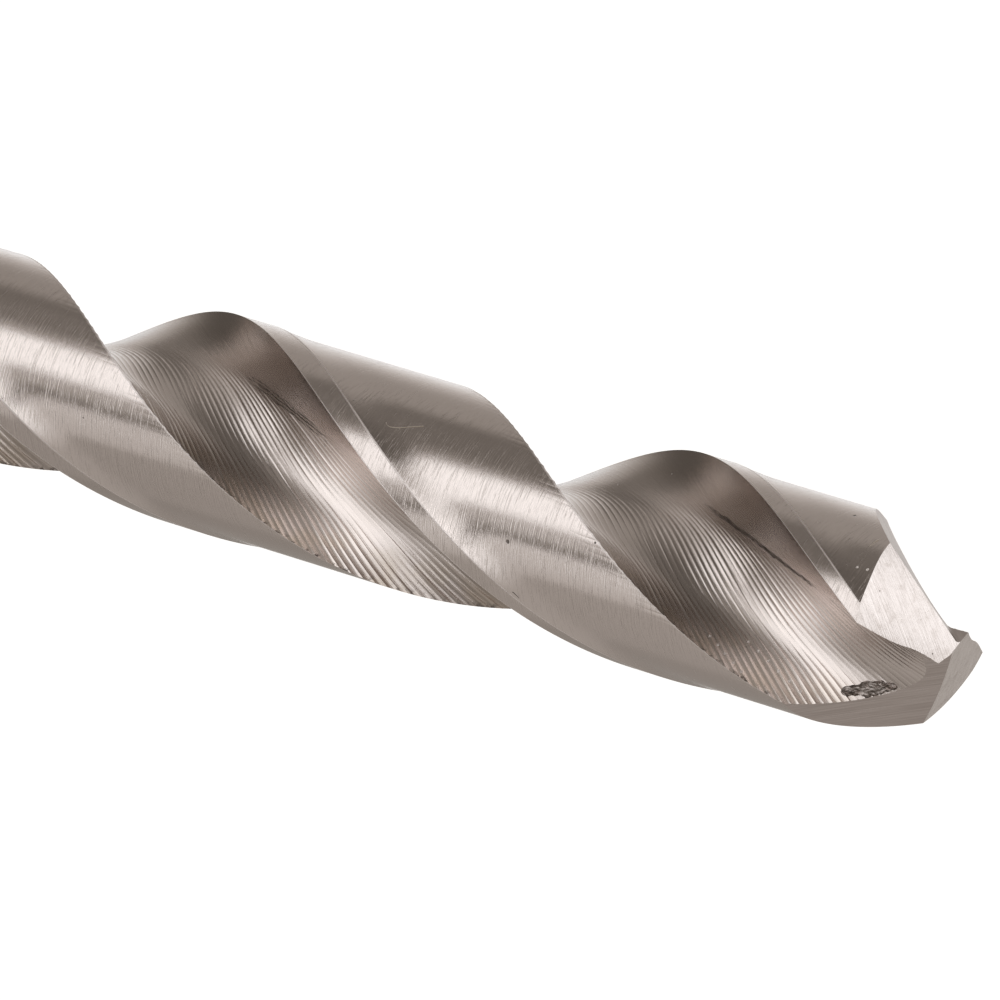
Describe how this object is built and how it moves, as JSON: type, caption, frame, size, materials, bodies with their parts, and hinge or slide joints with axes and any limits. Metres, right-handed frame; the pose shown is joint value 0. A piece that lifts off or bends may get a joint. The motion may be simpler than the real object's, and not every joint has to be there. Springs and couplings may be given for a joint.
{
  "type": "twist drill bit",
  "caption": "Right-hand twist drill bit with a plain straight shank, polished body lands, narrow margins and a ground split point.",
  "frame": {"origin": "centre of the flat end of the shank, the lowest point of the part", "axes": "+Z along the drill's axis from the shank to the point; the outer corner of one lip lies almost on +X, half a web thickness toward +Y"},
  "size_m": [0.01, 0.01, 0.133],
  "materials": {
    "ground_steel": "bright ground high-speed steel with fine grinding marks"
  },
  "bodies": {
    "root": {"twist_drill": "ground_steel"}
  },
  "joints": []
}
